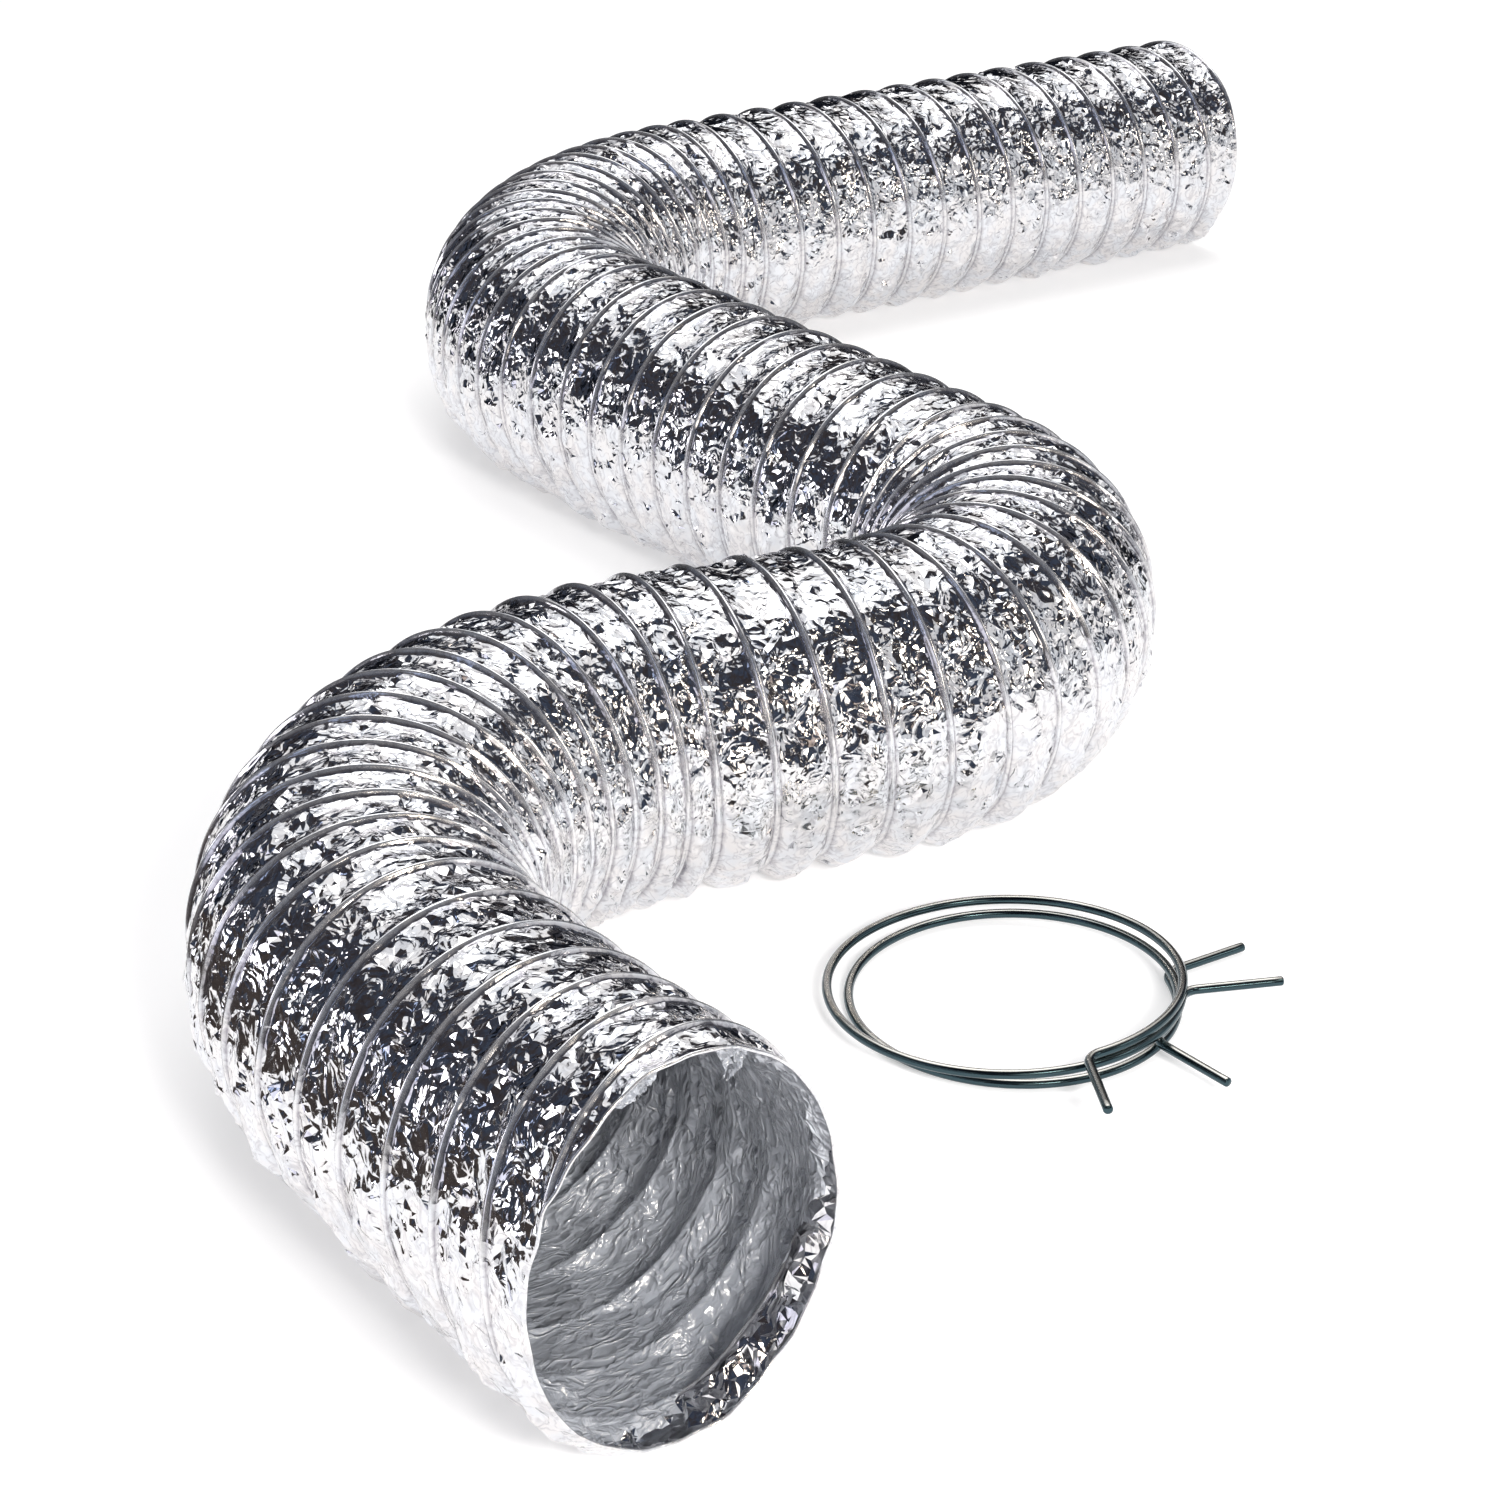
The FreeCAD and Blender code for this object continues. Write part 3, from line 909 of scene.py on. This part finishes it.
# Name, place, target, width, height, power and tint of the lamps that light the set
SOFT_BOXES = [
    ("top_box", (0.8, 1.15, 1.9), DUCT_MIDDLE, 2.9, 2.5, 22.5),
    ("top_core", (0.7, 1.0, 1.86), DUCT_MIDDLE, 1.6, 1.2, 11),
    ("right_box", (2.3, -0.8, 0.9), DUCT_MIDDLE, 1.2, 1.3, 3.6),
    ("right_low_box", (2.7, 0.8, 0.3), FRONT_LENGTH, 2.2, 0.5, 3.6),
    ("front_low_box", (1.9, -2.2, 0.27), (0.4, 0.3, 0.0), 2.4, 0.5, 2.8),
    ("left_box", (-2.0, -0.2, 0.6), FRONT_MOUTH, 1.2, 0.9, 4.0, "f4f2ff"),
    ("blue_strip", (-1.5, 0.2, 1.3), DUCT_MIDDLE, 0.14, 1.1, 0.6, "c3d6ff"),
    ("warm_strip", (0.6, -1.7, 1.2), DUCT_MIDDLE, 1.1, 0.12, 0.3, "ffe8d8"),
    ("front_box", (-0.3, -1.6, 0.8), (0.1, 0.1, 0.0), 0.9, 0.7, 4.5, "fff6ea"),
]

# A lamp that lights the inside of the mouth and is not seen in the foil
MOUTH_FILL = ("mouth_fill", (-0.15, -1.2, 0.85), FRONT_MOUTH, 0.45, 0.35, 25)

# Small lamps that only put sparkle on the foil: they light nothing by themselves
SPARKLES = [
    ("right_sparkle", (1.7, -1.5, 1.0), DUCT_MIDDLE, 0.5, 0.4, 3.5, "fff8ee"),
    ("mouth_sparkle", (-0.05, -1.2, 0.8), FRONT_MOUTH, 0.3, 0.1, 4.0, "fff4e2"),
    ("lining_sparkle", (0.67, -0.92, 1.15), (0.0, 0.05, 0.0), 0.25, 0.25, 2.2, "fff4e2"),
    ("left_sparkle", (-1.8, 1.7, 0.62), FRONT_LENGTH, 0.75, 0.5, 7.0, "f6f4fa"),
]

# Name, place, facing, width, height and colour of the dark cards: the back one darkens the upper
# band of the far runs, and the left one the lower side of the front run
DARK_CARDS = [
    ("back_card", (0.92, 1.2, 0.17), (-0.557, -0.83, 0), 3.4, 0.45, "10131a"),
    ("left_card", (-0.256, 0.236, -0.011), (0.55, -0.83, 0), 0.42, 0.082, "3d3735"),
]

photo_camera()
pale_floor()
for card in DARK_CARDS:
    dark_card(*card)
dark_canopy()
studio_world()
for box in SOFT_BOXES:
    soft_box(*box)
soft_box(*MOUTH_FILL).visible_glossy = False
for sparkle in SPARKLES:
    soft_box(*sparkle).visible_diffuse = False

outer_foil = crinkled_aluminium_foil("crinkled_aluminium_foil", 0.13)
folded_foil = crinkled_aluminium_foil("sharply_folded_aluminium_foil", 0.4)
inner_foil = dull_film_lining()
clamp_finish = blackened_steel_wire()


# The lengths of foil, each across one moving stretch of the duct


# Where each bend and run starts, and the stretch zone, measured along the duct
(front_bend_start, second_start, middle_bend_start,
 third_start, back_bend_start, back_start) = route.marks[1:-1]
stretch_start = back_start + BACK_RUN
end_start = stretch_start + STRETCH_ZONE

# Where one length of foil meets the next, in the middle of a run that moves as one
second_middle = (second_start + middle_bend_start) / 2
third_middle = (third_start + back_bend_start) / 2
back_middle = back_start + BACK_RUN / 2

# Each length's name, its start and end, the bodies at its two ends, the start and end of the
# stretch that gives between them, and the solids in whose place it is shown
LENGTHS = [
    ("front_length", 0.0, second_middle, "front_run", "second_run",
     front_bend_start, second_start, ["front_run", "front_bend", "second_run"]),
    ("middle_length", second_middle, third_middle, "second_run", "third_run",
     middle_bend_start, third_start, ["middle_bend", "third_run"]),
    ("back_bend_length", third_middle, back_middle, "third_run", "back_run",
     back_bend_start, back_start, ["back_bend", "back_run"]),
    ("back_length", back_middle, route.length, "back_run", "back_end",
     stretch_start, end_start, ["stretch_zone", "back_end"]),
]

# The rolled edges of the cut ends: name, whether at the front mouth, and body
HEMS = [
    ("front_mouth_hem", True, "front_run"),
    ("back_mouth_hem", False, "back_end"),
]

# Torn tongues at the front mouth: name, place round the mouth, half width and reach
TONGUES = [
    ("front_mouth_flap", 107, 5.5, 7.0),
    ("front_mouth_tuck", 72, 8.0, 2.6),
]

# Room round the duct beyond its wires in which nothing is blended yet, and a step along the duct
# that is just enough to be past the start of a bend
BLEND_ROOM = 2
JUST_PAST = 1e-6


def axis_point(s):
    """Point of the duct's axis at a distance along it, in metres."""
    x, y, heading, curve = route.at(np.array([float(s)]))
    return Vector((x[0] * MM, y[0] * MM, 0.0))


def blend_ends(start, end):
    """Where the blend from one body to the next starts and ends, on the straight line between the
    ends of the stretch that gives. Both are moved in by as much as the duct's end rings reach
    along that line, so that each run keeps its shape."""
    first = axis_point(start)
    last = axis_point(end)
    along = (last - first).normalized()
    heading = route.at(np.array([start + JUST_PAST]))[2][0]
    lean = abs(Vector((-math.sin(heading), math.cos(heading), 0)).dot(along))
    inset = along * lean * (WIRE_LINE + BLEND_ROOM) * MM
    return first + inset, last - inset


def build_foil():
    """Both plies of each length, the hems of the two cut ends and the torn tongues."""
    for name, start, end, near_body, far_body, blend_start, blend_end, nodes in LENGTHS:
        first, last = blend_ends(blend_start, blend_end)
        # The lining shows most in the front length, so the others have a coarser one
        lining = (ROWS, COLUMNS) if start == 0 else (COARSE_ROWS, COLUMNS // 2)
        for ply, rows, columns in (("outer", ROWS, COLUMNS), ("inner", *lining)):
            made = foil_mesh("%s_%s_ply" % (name, ply), start, end, ply, rows, columns)
            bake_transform(made)
            if ply == "outer":
                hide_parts(*nodes)
    for name, at_front, body in HEMS:
        hem = hem_mesh(name, at_front)
        hem.data.materials.append(outer_foil)
        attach(hem, body)
    for name, angle, width, reach in TONGUES:
        flap = torn_flap(name, angle, width, reach)
        flap.data.materials.append(inner_foil)
        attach(flap, "front_run")


build_foil()


# The clamps: the same rings as the solids, with smooth round wire


# The wire is drawn a little thicker than the solids' one
SOLID_WIRE_RADIUS = 1.5
DRAWN_THICKER = 0.07
WIRE_RADIUS = SOLID_WIRE_RADIUS + DRAWN_THICKER
WIRE_SIDES = 16

# How far one arm stands above the other where they pass, and the upper clamp above the lower one
CROSSING_GAP = 0.6
ARM_STEP = 2 * SOLID_WIRE_RADIUS + CROSSING_GAP

# The tails: radius and turn of the bend at their root, and their length
TAIL_RADIUS = 7.0
TAIL_TURN = 72.0
TAIL_LENGTH = 27.0

# Half the arc of the bow, opposite the tails
BOW_HALF = 20.0

# Steps along an arm, the bend of its tail, the tail and the bow
ARM_STEPS = 90
TAIL_BEND_STEPS = 12
TAIL_STEPS = 8
BOW_STEPS = 24

# Rings that round off a cut end: how far past it, and the share of the wire's radius
TIP_RINGS = [(0.35, 0.93), (0.6, 0.72), (0.7, 0.02)]


def ring_point(radius, angle, low, rise):
    """Point of a ring that lies low at its bow and higher by rise on the tails' side."""
    a = math.radians(angle)
    height = low + rise * (1 + math.cos(a)) / 2
    return Vector((radius * math.cos(a), radius * math.sin(a), height))


def arm_points(radius, overlap, side, low, rise):
    """Points of one arm, from the bow round past the other arm and out along its tail.
    side is 1 for the arm that runs anticlockwise."""
    first = 180 + side * BOW_HALF
    last = 180 + side * (180 + overlap / 2)
    points = []
    for k in range(ARM_STEPS + 1):
        points.append(ring_point(radius, first + (last - first) * k / ARM_STEPS, low, rise))
    slope = rise / (2 * radius)
    end = math.radians(last)
    reach = radius + TAIL_RADIUS
    bend_centre = Vector((reach * math.cos(end), reach * math.sin(end), 0))
    middle = low + rise / 2
    for k in range(1, TAIL_BEND_STEPS + 1):
        a = math.radians(last + 180 - side * TAIL_TURN * k / TAIL_BEND_STEPS)
        p = bend_centre + Vector((TAIL_RADIUS * math.cos(a), TAIL_RADIUS * math.sin(a), 0))
        points.append(Vector((p.x, p.y, middle + slope * p.x)))
    way = (points[-1] - points[-2]).normalized()
    tip = points[-1]
    for k in range(1, TAIL_STEPS + 1):
        points.append(tip + way * TAIL_LENGTH * k / TAIL_STEPS)
    return points


def bow_points(radius, low, near_rise, far_rise):
    """Points of the short arc opposite the tails, which joins the two arms."""
    points = []
    for k in range(BOW_STEPS + 1):
        angle = 180 - BOW_HALF + 2 * BOW_HALF * k / BOW_STEPS
        points.append(ring_point(radius, angle, low, far_rise if angle < 180 else near_rise))
    return points


def wire_mesh(name, points, place, cut):
    """Round wire swept along the points, with a rounded tip at its last point if it is cut there."""
    stations = []
    for k, point in enumerate(points):
        before = points[max(k - 1, 0)]
        after = points[min(k + 1, len(points) - 1)]
        stations.append((point, (after - before).normalized(), 1.0))
    if cut:
        tip, way, full = stations[-1]
        for forward, share in TIP_RINGS:
            stations.append((tip + way * forward, way, share))
    vertices = []
    for point, way, share in stations:
        across = Vector((0, 0, 1)).cross(way).normalized()
        over = way.cross(across)
        for k in range(WIRE_SIDES):
            a = 2 * math.pi * k / WIRE_SIDES
            outward = across * math.cos(a) + over * math.sin(a)
            vertices.append(place @ (point + outward * WIRE_RADIUS * share))
    mesh = bpy.data.meshes.new(name)
    mesh.from_pydata([vertex * MM for vertex in vertices], [], ring_faces(len(stations) - 1, WIRE_SIDES))
    mesh.shade_smooth()
    mesh.materials.append(clamp_finish)
    return add_object(name, mesh)


def build_clamp(name, centre, heading, radius, overlap, low, rise):
    """One clamp: its two arms, which pass one above the other, and the bow that joins them."""
    place = Matrix.Translation(Vector(centre)) @ Matrix.Rotation(math.radians(heading), 4, "Z")
    near = wire_mesh(name + "_near_wire", arm_points(radius, overlap, 1, low, rise), place, True)
    far = wire_mesh(name + "_far_wire", arm_points(radius, overlap, -1, low, rise + ARM_STEP), place, True)
    bow = wire_mesh(name + "_bow_wire", bow_points(radius, low, rise, rise + ARM_STEP), place, False)
    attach(near, name + "_near_arm")
    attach(far, name)
    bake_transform(bow)
    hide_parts(name + "_near_arm")
    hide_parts(name + "_far_arm")
    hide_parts(name + "_bow")


# The lower clamp lies on the floor, and the upper one on the lower one's crossing
build_clamp("lower_clamp", centre=(207.0, 126.0, FLOOR_LEVEL), heading=-44.5, radius=52.5, overlap=44.0,
            low=WIRE_RADIUS, rise=0.0)
build_clamp("upper_clamp", centre=(204.0, 127.0, FLOOR_LEVEL), heading=-71.5, radius=56.5, overlap=51.0,
            low=SOLID_WIRE_RADIUS + ARM_STEP, rise=ARM_STEP)

bpy.context.scene.view_settings.view_transform = "Standard"
